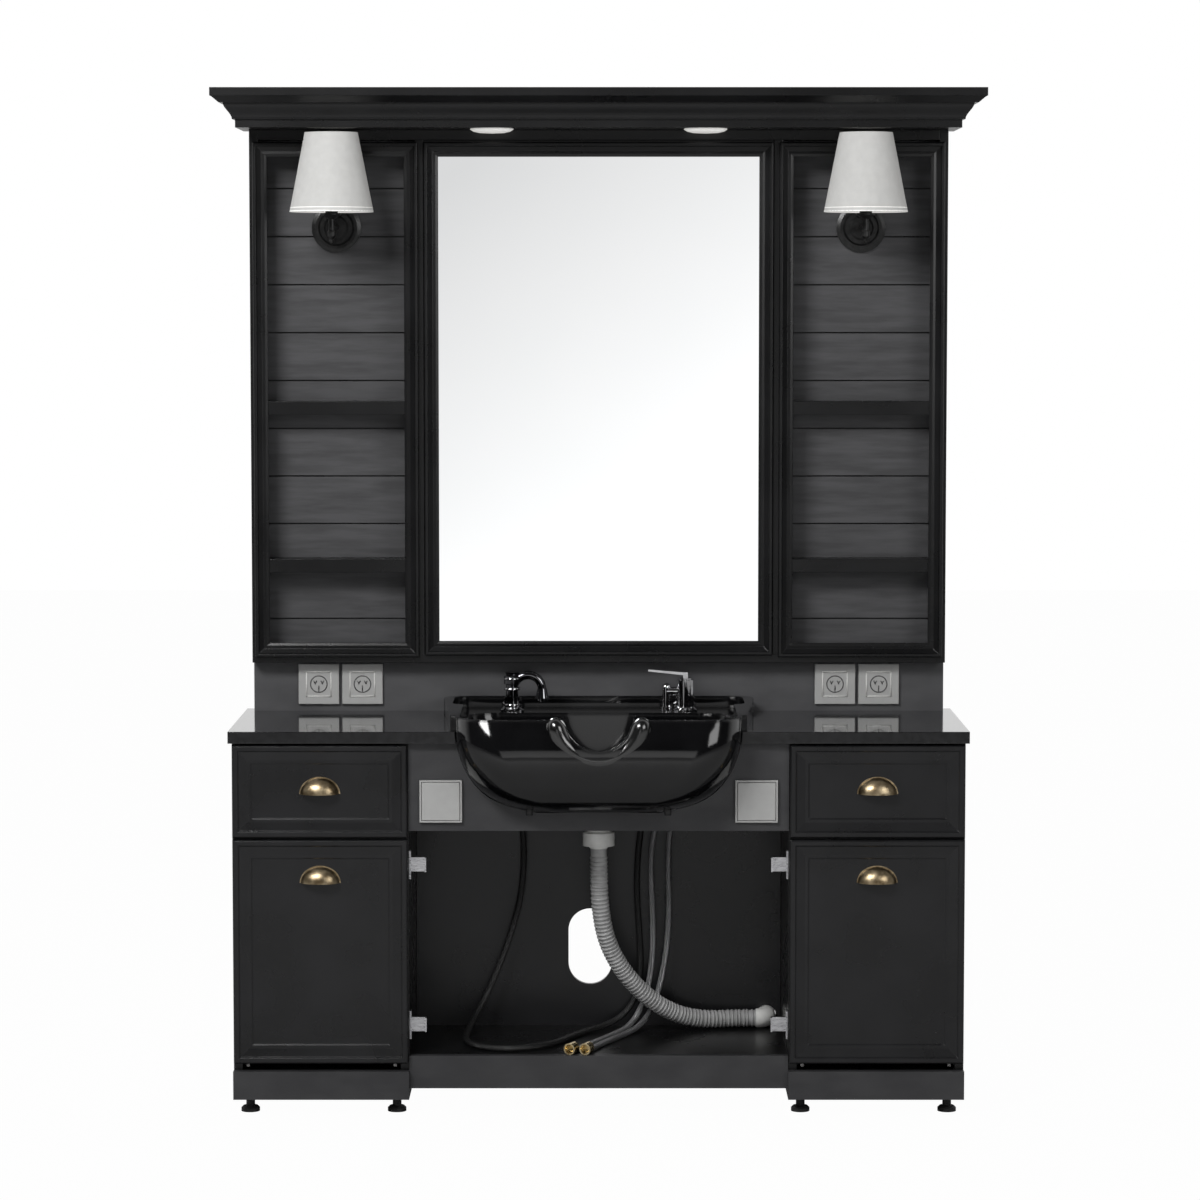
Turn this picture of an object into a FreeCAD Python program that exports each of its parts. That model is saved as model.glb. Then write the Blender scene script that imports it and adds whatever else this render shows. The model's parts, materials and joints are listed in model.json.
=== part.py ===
"""Black salon styling station: a base with a front wash basin, and a slim upper cabinet with a mirror.

Millimetres. X runs across the station, the front faces -Y, Z is up. The origin is the middle of the
station's footprint on the floor, from the front of the basin to the wall.
"""
import FreeCAD, Part
import math
import os
from FreeCAD import Placement, Rotation, Vector

# ---------------------------------------------------------------- overall sizes
COUNTER_WIDTH = 1500.0
COUNTER_DEPTH = 450.0
COUNTER_TOP = 786.0
COUNTER_THICK = 24.0
BASIN_PROJECTION = 110.0        # how far the basin stands out in front of the counter
TOTAL_HEIGHT = 2090.0
BOARD = 18.0                    # panel thickness
THIN_BOARD = 12.0               # back panels
FOOT_HEIGHT = 32.0

DEPTH = COUNTER_DEPTH + BASIN_PROJECTION
WALL_Y = DEPTH / 2
COUNTER_FRONT = WALL_Y - COUNTER_DEPTH
BASIN_FRONT = -DEPTH / 2
COUNTER_UNDER = COUNTER_TOP - COUNTER_THICK

# ---------------------------------------------------------------- base cabinet
BASE_SIDE_OVERHANG = 6.0        # counter past the base's side
PEDESTAL_WIDTH = 358.0
FRONT_SETBACK = 4.0             # counter's edge to the drawer fronts' face
FRONT_THICK = 20.0
FRONT_GAP = 1.0                 # fronts' backs to the carcass's edges
BAY_SETBACK = 18.0              # counter's edge to the apron's face
SERVICE_DEPTH = 95.0            # bay's back panel to the wall
BAY_FLOOR_TOP = 120.0
BAY_RAIL_LOW = 53.0
PLINTH_TOP = 90.0
HAMPER_LOW = PLINTH_TOP + 16.0  # lower fronts
DRAWER_FACE = 189.0             # height of a drawer front
FRONT_REVEAL = 4.0              # gap over and under a drawer front
DRAWER_HIGH = COUNTER_UNDER - FRONT_REVEAL
DRAWER_LOW = DRAWER_HIGH - DRAWER_FACE
HAMPER_HIGH = DRAWER_LOW - FRONT_REVEAL
FRONT_SIDE_GAP = 1.5
APRON_HEIGHT = 180.0

BASE_HALF = COUNTER_WIDTH / 2 - BASE_SIDE_OVERHANG
BAY_HALF = BASE_HALF - PEDESTAL_WIDTH
PEDESTAL_X = (BASE_HALF + BAY_HALF) / 2          # middle of a pedestal
PEDESTAL_CLEAR = PEDESTAL_WIDTH - 2 * BOARD      # inside width
FACE_Y = COUNTER_FRONT + FRONT_SETBACK           # face of the drawer fronts
FRONT_BACK = FACE_Y + FRONT_THICK
CARCASS_FRONT = FRONT_BACK + FRONT_GAP
CARCASS_BACK = WALL_Y - THIN_BOARD
BAY_FRONT = COUNTER_FRONT + BAY_SETBACK
BAY_BACK = WALL_Y - SERVICE_DEPTH
DIVIDER_TOP = DRAWER_LOW + 6.0
APRON_LOW = COUNTER_UNDER - APRON_HEIGHT

SERVICE_HOLE = (92.0, 162.0, -18.0, 289.0)       # width, height, middle x, middle z
BACK_RAIL_HEIGHT = 80.0
WALL_FIXING_X = 400.0                            # spacing of the wall screws
WALL_FIXING_R = 4.5

FOOT_R = 19.0
FOOT_INSET_X = 31.0
FOOT_INSET_Y = 28.0

CLIP = (34.0, 22.0, 58.0)                        # reach, thickness along Y, height
CLIP_Y = BAY_FRONT + 46.0
CLIP_Z = (177.0, 507.0)

# ---------------------------------------------------------------- drawers and hampers
RUNNER_HALF = 6.0               # one half of a drawer runner, across
RUNNER_GAP = 0.4
RUNNER_HEIGHT = 42.0
RUNNER_Z = DRAWER_LOW + 52.0
RUNNER_LENGTH = 300.0
DRAWER_BOX_LOW = DRAWER_LOW + 18.0
DRAWER_BOX_HEIGHT = 128.0
DRAWER_BOX_DEPTH = 300.0
DRAWER_WALL = 12.0
DRAWER_FLOOR = 8.0

HAMPER_AXIS = (CARCASS_FRONT + 5.0, HAMPER_LOW - 1.0)       # y, z of the hampers' hinge line
HAMPER_BIN_WALL = 6.0
HAMPER_BIN_LOW = HAMPER_LOW + 17.0
HAMPER_BIN_HIGH = HAMPER_BIN_LOW + 332.0
HAMPER_BIN_DEPTH = 236.0
HAMPER_SIDE_GAP = 8.0
HINGE_PIN_R = 4.0
HINGE_FIT = 0.05
HINGE_FLANGE_R = 10.0
HINGE_FLANGE = 3.0

FRAME_WIDTH = 40.0              # moulded border of the fronts
FRAME_BEAD = 11.0
FRAME_RISE = 9.0
FRAME_LIP = 3.0

PULL_WIDTH = 83.0
PULL_HEIGHT = 44.0
PULL_REACH = 27.0
PULL_WALL = 2.4
PULL_PLATE = 2.0
DRAWER_PULL_Z = (DRAWER_LOW + DRAWER_HIGH) / 2 + 8.0
HAMPER_PULL_Z = HAMPER_HIGH - 75.0

# ---------------------------------------------------------------- upper cabinet
UPPER_HALF = 731.0
UPPER_DEPTH = 84.0
SPLASH_HEIGHT = 106.0
CROWN_HEIGHT = 80.0
UPPER_LOW = COUNTER_TOP + SPLASH_HEIGHT
UPPER_HIGH = TOTAL_HEIGHT - CROWN_HEIGHT
SPLASH_SETBACK = 46.0           # wall to the backsplash's face
PARTITION_X = 376.0             # middle of a partition
MOULDING_WIDTH = 30.0
MOULDING_RISE = 12.0
MOULDING_LAP = 11.0             # mouldings over the gables' edges
MOULDING_LOW = UPPER_LOW + 12.0
MOULDING_HIGH = UPPER_HIGH - 26.0
MIRROR_THICK = 5.0
MIRROR_LAP = 8.0
PLANK_PITCH = 101.0
PLANK_THICK = 10.0
PLANK_GAP = 3.0
SHELF_THICK = 28.0
SHELF_PARTS = (0.1917, 0.4991)   # shelf tops, as parts of the niche's height
SHELF_CLEAR = 0.5

UPPER_FRONT = WALL_Y - UPPER_DEPTH
UPPER_BACK_FACE = WALL_Y - THIN_BOARD
PLANK_FACE = UPPER_BACK_FACE - PLANK_THICK
SPLASH_FACE = WALL_Y - SPLASH_SETBACK
NICHE_OUTER = UPPER_HALF - BOARD                 # inside face of a gable
NICHE_INNER = PARTITION_X + BOARD / 2            # niche face of a partition

# ---------------------------------------------------------------- crown
CROWN_HALF = 749.0              # the crown's lower band
CROWN_FRONT = 80.0
CROWN_OUT = 48.0                # how far the moulding steps out
SOFFIT_THICK = 12.0
SPOT_X = 222.0
SPOT_R = 45.0
SPOT_DROP = 10.0
SPOT_BODY_R = 34.0
SPOT_BODY = 34.0
SPOT_FIT = 1.0

# ---------------------------------------------------------------- electrical plates
PLATE = 86.0
PLATE_THICK = 8.0
SOCKET_X = (501.0, 593.5)
SOCKET_Z = COUNTER_TOP + 57.5
SWITCH_X = 320.0
SWITCH_Z = APRON_LOW + 61.0
ROCKER = 77.0
ROCKER_GAP = 1.0
ROCKER_PROUD = 2.0
ROCKER_THICK = 5.0
ROCKER_PIVOT_R = 2.0
ROCKER_WELL = 13.0              # depth of the frame's hollow under the rocker
SWITCH_BOX = (68.0, 26.0)       # side and depth of the box behind a switch

# ---------------------------------------------------------------- sconces
SCONCE_X = 553.0
SCONCE_REACH = 150.0
SHADE_LOW_R = 87.0
SHADE_TOP_R = 55.0
SHADE_HEIGHT = 164.0
SHADE_HIGH = UPPER_HIGH - 9.0
SHADE_LOW = SHADE_HIGH - SHADE_HEIGHT
SCONCE_Z = SHADE_LOW - 30.0
SHADE_WALL = 1.5
ROSE_R = 52.0
ROSE_THICK = 16.0
ARM_R = 6.0
BULB_R = 27.0

# ---------------------------------------------------------------- basin
BASIN_RISE = 33.0               # rim over the counter
BASIN_TOP = COUNTER_TOP + BASIN_RISE
BASIN_WALL = 8.0
LEDGE_FRONT = 118.0
LEDGE_BACK = 214.0
LEDGE_THICK = 8.0
RIM_BACK = 228.0
RIM_BACK_HALF = 326.0
RIM_FRONT_HALF = 300.0
RIM_CORNER = 46.0
BASIN_CUT_CLEAR = 4.0
# outside of the bowl: drop below the rim, half width, set back from the front, back, corner radius
BOWL_SHAPE = (
    (196.0, 150.0, 100.0, 80.0, 100.0),
    (186.0, 188.0, 64.0, 96.0, 104.0),
    (161.0, 230.0, 30.0, 106.0, 104.0),
    (121.0, 262.0, 10.0, 113.0, 98.0),
    (77.0, 280.0, 0.0, 118.0, 90.0),
    (BASIN_RISE, 287.0, 8.0, 122.0, 80.0),
    (0.0, 289.0, 22.0, 124.0, 74.0),
)
BOWL_SECTIONS = [(BASIN_TOP - drop, half, BASIN_FRONT + front, back, corner)
                 for drop, half, front, back, corner in BOWL_SHAPE]
BOWL_LOW = BOWL_SECTIONS[0][0]
NOTCH_R = 70.0
NOTCH_LOW = BASIN_TOP - 61.0
ROLL_R = 15.0
STUD_X = 140.0                  # short studs under the front of the bowl
STUD_Y = COUNTER_FRONT - 4.0
STUD_R = 7.0
DRAIN_Y = 0.0
DRAIN_BOSS_R = 40.0
DRAIN_BOSS_LOW = BOWL_LOW - 39.0
DRAIN_HOLE_R = 24.0
WASTE_NUT_R = 33.0
WASTE_LOW = DRAIN_BOSS_LOW - 59.0
WASTE_BODY_R = 23.7
STRAINER_R = 35.0
TAP_X = 182.0
TAP_Y = 150.0
TAP_HOLE_R = 17.0
OUTLET_X = 142.0
OUTLET_HOLE_R = 9.0
SHANK_R = 16.0
SHANK_LOW = COUNTER_UNDER - 11.0
MIXER_R = 19.0
MIXER_HIGH = COUNTER_TOP + 62.0
LEVER_REACH = 78.0
HOLDER_R = 20.0
HOLDER_HIGH = COUNTER_TOP + 30.0
HANDSET_R = 13.0
HANDSET_HIGH = COUNTER_TOP + 90.0

# ---------------------------------------------------------------- hoses
SPRAY_R = 6.5
SUPPLY_R = 6.0
DRAIN_R = 17.0
ELBOW_R = 20.0
ELBOW_X = 355.0
ELBOW_BEND = 21.0
NUT_R = 12.0
NUT_LENGTH = 24.0
NUT_BORE_R = 9.3
SPRAY_ROUTE = (
    (-182, 150, 751), (-182, 150, 706), (-172, 147, 635), (-160, 147, 555), (-157, 150, 469), (-165,
                                                                                               151, 394),
    (-186, 148, 318), (-212, 145, 248), (-238, 132, 190), (-262, 100, 150), (-276, 50, 129), (-276, -10,
                                                                                              127),
    (-262, -66, 127), (-226, -104, 127), (-176, -112, 127), (-126, -88, 127), (-84, -40, 127), (-58, 22,
                                                                                                127),
    (-26, 80, 127), (12, 128, 129), (54, 156, 146), (82, 167, 188), (90, 168, 249), (86, 168, 323),
    (80, 168, 404), (82, 166, 484), (92, 162, 565), (118, 156, 641), (142, 150, 706), (142, 150, 751),
)
HOT_ROUTE = (
    (174, 150, 751), (174, 150, 716), (160, 144, 665), (136, 140, 607), (116, 138, 543), (109, 138, 472),
    (112, 138, 394), (115, 140, 321), (112, 142, 253), (100, 138, 192), (80, 122, 149), (56, 92, 129),
    (32, 50, 126), (10, 4, 126), (-12, -44, 126), (-34, -88, 126), (-50, -122, 126),
)
COLD_ROUTE = (
    (190, 150, 751), (190, 150, 716), (180, 144, 660), (162, 140, 603), (149, 138, 539), (146, 138, 468),
    (148, 139, 394), (146, 142, 321), (138, 146, 253), (124, 144, 192), (104, 128, 150), (80, 98, 130),
    (56, 54, 126), (34, 8, 126), (12, -40, 126), (-6, -84, 126), (-20, -122, 126),
)
DRAIN_ROUTE = (
    (0, 0, 525), (0, 0, 464), (3, 8, 399), (14, 26, 333), (40, 46, 275), (76, 70, 225), (120, 96, 182),
    (172, 120, 152), (230, 138, 141), (286, 149, 142), (332, 149, 142),
)


# ================================================================ helpers
nodes = {}


def add(name, *shapes):
    """Keep one named node: a single solid, or a group of separate ones."""
    nodes[name] = shapes[0] if len(shapes) == 1 else Part.makeCompound(list(shapes))


def box(x0, x1, y0, y1, z0, z1):
    return Part.makeBox(x1 - x0, y1 - y0, z1 - z0, Vector(x0, y0, z0))


def rod(r, start, end):
    """Cylinder between two points."""
    a, b = Vector(*start), Vector(*end)
    return Part.makeCylinder(r, (b - a).Length, a, b - a)


def bent_rod(r, start, corner, end, bend):
    """Round bar with one square corner, rounded to the bend radius."""
    a, b, c = Vector(*start), Vector(*corner), Vector(*end)
    to_a, to_c = (a - b).normalize(), (c - b).normalize()
    middle = b + (to_a + to_c).normalize() * (math.sqrt(2) - 1) * bend
    path = Part.Wire([
        Part.makeLine(a, b + to_a * bend),
        Part.Arc(b + to_a * bend, middle, b + to_c * bend).toShape(),
        Part.makeLine(b + to_c * bend, c),
    ])
    section = Part.Wire(Part.Circle(a, b - a, r).toShape())
    return path.makePipeShell([section], True, True)


def mirrored(shape):
    """The same piece on the other side of the station."""
    return shape.mirror(Vector(0, 0, 0), Vector(1, 0, 0))


def pair(shape):
    """The right-hand piece with its left-hand twin."""
    return [shape, mirrored(shape)]


def turned(points, centre):
    """Solid turned about the vertical through centre, from (radius, z) points."""
    x, y = centre
    wire = Part.makePolygon([Vector(r, 0, z) for r, z in points] + [Vector(points[0][0], 0, points[0][1])])
    solid = Part.Face(wire).revolve(Vector(0, 0, 0), Vector(0, 0, 1), 360)
    return solid.translated(Vector(x, y, 0))


def round_outline(half, y0, y1, r, z):
    """Rounded rectangle wire at height z."""
    k = math.sqrt(0.5)
    edges = []
    corners = ((half - r, y1 - r, 1, 1), (-half + r, y1 - r, -1, 1), (-half + r, y0 + r, -1, -1),
               (half - r, y0 + r, 1, -1))
    ends = []
    for x, y, sx, sy in corners:
        first, last = Vector(x + sx * r, y, z), Vector(x, y + sy * r, z)
        if sx * sy < 0:
            first, last = last, first
        ends.append((first, Vector(x + sx * k * r, y + sy * k * r, z), last))
    for i, (first, middle, last) in enumerate(ends):
        edges.append(Part.Arc(first, middle, last).toShape())
        edges.append(Part.makeLine(last, ends[(i + 1) % 4][0]))
    return Part.Wire(edges)


def tube(name, route, r):
    """Hose along straight runs joined by arcs as large as the runs allow."""
    points = [Vector(*p) for p in route]
    runs = [(b - a).Length for a, b in zip(points, points[1:])]
    edges, at, least = [], points[0], 1e9
    for i in range(1, len(points) - 1):
        before, after = (points[i] - points[i - 1]).normalize(), (points[i + 1] - points[i]).normalize()
        turn = before.getAngle(after)
        cut = 0.45 * min(runs[i - 1], runs[i])
        radius = cut / math.tan(turn / 2)
        least = min(least, radius)
        start, end = points[i] - before * cut, points[i] + after * cut
        inward = (after - before).normalize()
        middle = points[i] + inward * (radius / math.cos(turn / 2) - radius)
        edges.append(Part.LineSegment(at, start).toShape())
        edges.append(Part.Arc(start, middle, end).toShape())
        at = end
    edges.append(Part.LineSegment(at, points[-1]).toShape())
    path = Part.Wire(edges)
    section = Part.Wire(Part.Circle(points[0], points[1] - points[0], r).toShape())
    solid = path.makePipeShell([section], True, True)
    share = solid.Volume / (math.pi * r * r * path.Length)
    print(f"{name}: {path.Length:.0f} mm long, least radius {least:.0f} mm, volume share {share:.3f}")
    return solid


def moulded_ring(x0, x1, z0, z1, profile):
    """Mitred frame round the rectangle x0..x1, z0..z1; profile is (inwards, y) points."""
    points = list(profile) + [profile[0]]
    faces = []
    for (a, ya), (b, yb) in zip(points, points[1:]):
        outer = [Vector(x0 + a, ya, z0 + a), Vector(x1 - a, ya, z0 + a), Vector(x1 - a, ya, z1 - a),
                 Vector(x0 + a, ya, z1 - a)]
        inner = [Vector(x0 + b, yb, z0 + b), Vector(x1 - b, yb, z0 + b), Vector(x1 - b, yb, z1 - b),
                 Vector(x0 + b, yb, z1 - b)]
        for i in range(4):
            j = (i + 1) % 4
            faces.append(Part.Face(Part.makePolygon([outer[i], outer[j], inner[j], inner[i], outer[i]])))
    solid = Part.makeSolid(Part.makeShell(faces))
    if solid.Volume < 0:
        solid.reverse()
    return solid


# ================================================================ base cabinet
def bowl_body(grow, low=0.0):
    """Outside of the bowl, grown all round, without its drain boss."""
    wires = [
        round_outline(half + grow, front - grow, back + grow, corner + grow, z + (low if i == 0 else 0.0))
        for i, (z, half, front, back, corner) in enumerate(BOWL_SECTIONS)
    ]
    return Part.makeLoft(wires, True, False)


def base_cabinet():
    side = box(BASE_HALF - BOARD, BASE_HALF, CARCASS_FRONT, WALL_Y, FOOT_HEIGHT, COUNTER_UNDER)
    add("outer_sides", *pair(side))
    side = box(BAY_HALF, BAY_HALF + BOARD, CARCASS_FRONT, CARCASS_BACK, FOOT_HEIGHT, COUNTER_UNDER)
    add("inner_sides", *pair(side))

    inside = (BAY_HALF + BOARD, BASE_HALF - BOARD)
    shelves = []
    for top in (PLINTH_TOP, DIVIDER_TOP):
        shelves += pair(box(*inside, CARCASS_FRONT, CARCASS_BACK, top - BOARD, top))

    plinth = box(BAY_HALF, BASE_HALF, FACE_Y, FRONT_BACK + FRONT_GAP, FOOT_HEIGHT, PLINTH_TOP)
    rail = box(-BAY_HALF, BAY_HALF, BAY_FRONT, BAY_FRONT + BOARD, BAY_RAIL_LOW, BAY_FLOOR_TOP)
    floor = box(-BAY_HALF, BAY_HALF, BAY_FRONT + BOARD, BAY_BACK, BAY_FLOOR_TOP - BOARD, BAY_FLOOR_TOP)
    add("base_boards", *shelves, floor)

    apron = box(-BAY_HALF, BAY_HALF, BAY_FRONT, BAY_FRONT + BOARD, APRON_LOW, COUNTER_UNDER)
    apron = apron.cut(bowl_body(BASIN_CUT_CLEAR, -BASIN_CUT_CLEAR))
    box_side, box_depth = SWITCH_BOX
    for x in (-SWITCH_X, SWITCH_X):
        half = box_side / 2
        apron = apron.cut(box(x - half, x + half, BAY_FRONT - 1, BAY_FRONT + BOARD + 1, SWITCH_Z - half,
                              SWITCH_Z + half))
    add("apron", apron)

    back = box(-BAY_HALF, BAY_HALF, BAY_BACK, BAY_BACK + THIN_BOARD, BAY_FLOOR_TOP - BOARD, COUNTER_UNDER)
    width, height, x, z = SERVICE_HOLE
    oval = rod(width / 2, (x, BAY_BACK - 1, z - (height - width) / 2),
               (x, BAY_BACK + THIN_BOARD + 1, z - (height - width) / 2))
    oval = oval.fuse(oval.translated(Vector(0, 0, height - width)))
    oval = oval.fuse(box(x - width / 2, x + width / 2, BAY_BACK - 1, BAY_BACK + THIN_BOARD + 1,
                         z - (height - width) / 2, z + (height - width) / 2))
    back = back.cut(oval)
    elbow_z = DRAIN_ROUTE[-1][2]
    back = back.cut(rod(ELBOW_R + 1, (ELBOW_X, BAY_BACK - 1, elbow_z),
                        (ELBOW_X, BAY_BACK + THIN_BOARD + 1, elbow_z)))
    outer = box(BAY_HALF, BASE_HALF - BOARD, CARCASS_BACK, WALL_Y, FOOT_HEIGHT, COUNTER_UNDER)
    add("base_backs", *pair(outer), back)

    wall_rail = box(-BAY_HALF, BAY_HALF, WALL_Y - BOARD, WALL_Y, COUNTER_UNDER - BACK_RAIL_HEIGHT,
                    COUNTER_UNDER)
    z = COUNTER_UNDER - BACK_RAIL_HEIGHT / 2
    for x in (-WALL_FIXING_X / 2, WALL_FIXING_X / 2):
        wall_rail = wall_rail.cut(rod(WALL_FIXING_R, (x, WALL_Y - BOARD - 1, z), (x, WALL_Y + 1, z)))
    add("base_rails", *pair(plinth), rail, wall_rail)

    feet = []
    for x in (BASE_HALF - FOOT_INSET_X, BAY_HALF + FOOT_INSET_X - 4):
        for y in (CARCASS_FRONT + FOOT_INSET_Y, CARCASS_BACK - FOOT_INSET_Y):
            foot = turned(((0, 0), (FOOT_R, 0), (FOOT_R, 7), (FOOT_R - 4, 11), (9, 11),
                           (9, FOOT_HEIGHT), (0, FOOT_HEIGHT)), (x, y))
            feet += pair(foot)
    add("levelling_feet", *feet)

    reach, thick, height = CLIP
    clips = []
    for z in CLIP_Z:
        x = BAY_HALF
        plate = box(x - 3, x, CLIP_Y - thick / 2, CLIP_Y + thick / 2, z - height / 2, z + height / 2)
        tongue = box(x - reach, x, CLIP_Y - 2, CLIP_Y + 2, z - height / 4, z + height / 4)
        lip = box(x - reach, x - reach + 3, CLIP_Y - thick / 2, CLIP_Y + 2, z - height / 4, z + height / 4)
        clips += pair(plate.fuse([tongue, lip]).removeSplitter())
    add("panel_clips", *clips)


def countertop():
    top = box(-COUNTER_WIDTH / 2, COUNTER_WIDTH / 2, COUNTER_FRONT, WALL_Y, COUNTER_UNDER, COUNTER_TOP)
    top = top.cut(bowl_body(BASIN_CUT_CLEAR, -BASIN_CUT_CLEAR))
    for x, r in ((-TAP_X, TAP_HOLE_R), (TAP_X, TAP_HOLE_R), (OUTLET_X, OUTLET_HOLE_R)):
        top = top.cut(rod(r, (x, TAP_Y, COUNTER_UNDER - 1), (x, TAP_Y, COUNTER_TOP + 1)))
    add("countertop", top)


# ================================================================ drawers and hampers
FRAME_PROFILE = (
    (0.0, FRONT_BACK - THIN_BOARD),
    (0.0, FACE_Y + FRAME_LIP),
    (FRAME_LIP, FACE_Y),
    (FRAME_BEAD, FACE_Y),
    (FRAME_BEAD + FRAME_LIP, FACE_Y + FRAME_LIP),
    (FRAME_WIDTH - FRAME_LIP * 3, FACE_Y + FRAME_RISE - FRAME_LIP),
    (FRAME_WIDTH - FRAME_LIP, FACE_Y + FRAME_RISE - FRAME_LIP),
    (FRAME_WIDTH, FRONT_BACK - THIN_BOARD),
)


def moulded_front(low, high):
    x0, x1 = BAY_HALF + FRONT_SIDE_GAP, BASE_HALF - FRONT_SIDE_GAP
    slab = box(x0, x1, FRONT_BACK - THIN_BOARD, FRONT_BACK, low, high)
    return slab.fuse(moulded_ring(x0, x1, low, high, FRAME_PROFILE)).removeSplitter()


def cup_pull(z):
    """Half dome open underneath, on a flat flange."""
    face = FRONT_BACK - THIN_BOARD

    def dome(width, reach, height):
        shape = FreeCAD.Matrix()
        shape.scale(width, reach, height)
        ball = Part.makeSphere(1.0).transformGeometry(shape)
        return ball.translated(Vector(PEDESTAL_X, face, z - PULL_HEIGHT * 0.3))

    low = z - PULL_HEIGHT * 0.3
    wall = PULL_WALL
    room = box(PEDESTAL_X - PULL_WIDTH, PEDESTAL_X + PULL_WIDTH, face - 2 * PULL_REACH, face, low,
               z + PULL_HEIGHT)
    outer = dome(PULL_WIDTH / 2 - 2, PULL_REACH, PULL_HEIGHT * 0.8 - 2)
    inner = dome(PULL_WIDTH / 2 - 2 - wall, PULL_REACH - wall, PULL_HEIGHT * 0.8 - 2 - wall)
    shell = outer.common(room).cut(inner)
    flange = box(PEDESTAL_X - PULL_WIDTH / 2, PEDESTAL_X + PULL_WIDTH / 2, face - PULL_PLATE, face, low,
                 z + PULL_HEIGHT)
    ring = dome(PULL_WIDTH / 2, PULL_REACH * 2, PULL_HEIGHT * 0.8).cut(dome(PULL_WIDTH / 2 - 6,
                                                            PULL_REACH * 3, PULL_HEIGHT * 0.8 - 6))
    return shell.fuse(flange.common(ring))


def drawer_box():
    half = PEDESTAL_CLEAR / 2 - 2 * RUNNER_HALF - RUNNER_GAP
    low, high = DRAWER_BOX_LOW, DRAWER_BOX_LOW + DRAWER_BOX_HEIGHT
    front, back = FRONT_BACK, FRONT_BACK + DRAWER_BOX_DEPTH
    body = box(PEDESTAL_X - half, PEDESTAL_X + half, front, back, low, high)
    wall = DRAWER_WALL
    body = body.cut(box(PEDESTAL_X - half + wall, PEDESTAL_X + half - wall, front + wall, back - wall,
                        low + DRAWER_FLOOR, high + 1))
    for side in (-1, 1):
        a, b = sorted((PEDESTAL_X + side * half, PEDESTAL_X + side * (half + RUNNER_HALF)))
        body = body.fuse(box(a, b, front + 2, back, RUNNER_Z, RUNNER_Z + RUNNER_HEIGHT))
    return body.removeSplitter()


def drawer_runners():
    rails = []
    for side in (-1, 1):
        a, b = sorted((PEDESTAL_X + side * PEDESTAL_CLEAR / 2,
                       PEDESTAL_X + side * (PEDESTAL_CLEAR / 2 - RUNNER_HALF)))
        rails += pair(box(a, b, CARCASS_FRONT + 2, CARCASS_FRONT + 2 + RUNNER_LENGTH, RUNNER_Z,
                          RUNNER_Z + RUNNER_HEIGHT))
    add("drawer_runners", *rails)


def hamper_bin():
    half = PEDESTAL_CLEAR / 2 - HAMPER_SIDE_GAP
    wall = HAMPER_BIN_WALL
    y, z = HAMPER_AXIS
    front, back = FRONT_BACK, FRONT_BACK + HAMPER_BIN_DEPTH
    body = box(PEDESTAL_X - half, PEDESTAL_X + half, front, back, HAMPER_BIN_LOW, HAMPER_BIN_HIGH)
    body = body.cut(box(PEDESTAL_X - half + wall, PEDESTAL_X + half - wall, front + wall, back - wall,
                        HAMPER_BIN_LOW + wall, HAMPER_BIN_HIGH + 1))
    for side in (-1, 1):
        a, b = sorted((PEDESTAL_X + side * half, PEDESTAL_X + side * (half - wall)))
        lug = box(a, b, front, y + HINGE_FLANGE_R, z - HINGE_FLANGE_R + 2, HAMPER_BIN_LOW + wall)
        body = body.fuse(lug).cut(rod(HINGE_PIN_R + HINGE_FIT, (a - 1, y, z), (b + 1, y, z)))
    return body.removeSplitter()


def hamper_hinges():
    y, z = HAMPER_AXIS
    pins = []
    for side in (-1, 1):
        wall = PEDESTAL_X + side * PEDESTAL_CLEAR / 2
        flange = rod(HINGE_FLANGE_R, (wall, y + 6, z + 3), (wall - side * HINGE_FLANGE, y + 6, z + 3))
        pin = rod(HINGE_PIN_R, (wall, y, z), (wall - side * (HAMPER_SIDE_GAP + HAMPER_BIN_WALL + 3), y, z))
        pins += pair(flange.fuse(pin).removeSplitter())
    add("hamper_hinges", *pins)


def fronts():
    pieces = {
        "drawer_front": moulded_front(DRAWER_LOW, DRAWER_HIGH),
        "drawer_box": drawer_box(),
        "drawer_pull": cup_pull(DRAWER_PULL_Z),
        "hamper_front": moulded_front(HAMPER_LOW, HAMPER_HIGH),
        "hamper_bin": hamper_bin(),
        "hamper_pull": cup_pull(HAMPER_PULL_Z),
    }
    for name, shape in pieces.items():
        add("right_" + name, shape)
        add("left_" + name, mirrored(shape))


# ================================================================ upper cabinet
def moulding(x0, x1, low, high):
    """Frame round a niche or the mirror, on the cabinet's front edges."""
    back, face = UPPER_FRONT, UPPER_FRONT - MOULDING_RISE
    w = MOULDING_WIDTH
    profile = ((0, back), (0, face + 2), (2, face), (7, face), (9, face + 3), (w - 12, back - 3),
               (w - 6, back - 4),
               (w, back - 2), (w, back))
    return moulded_ring(x0, x1, low, high, profile)


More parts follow.
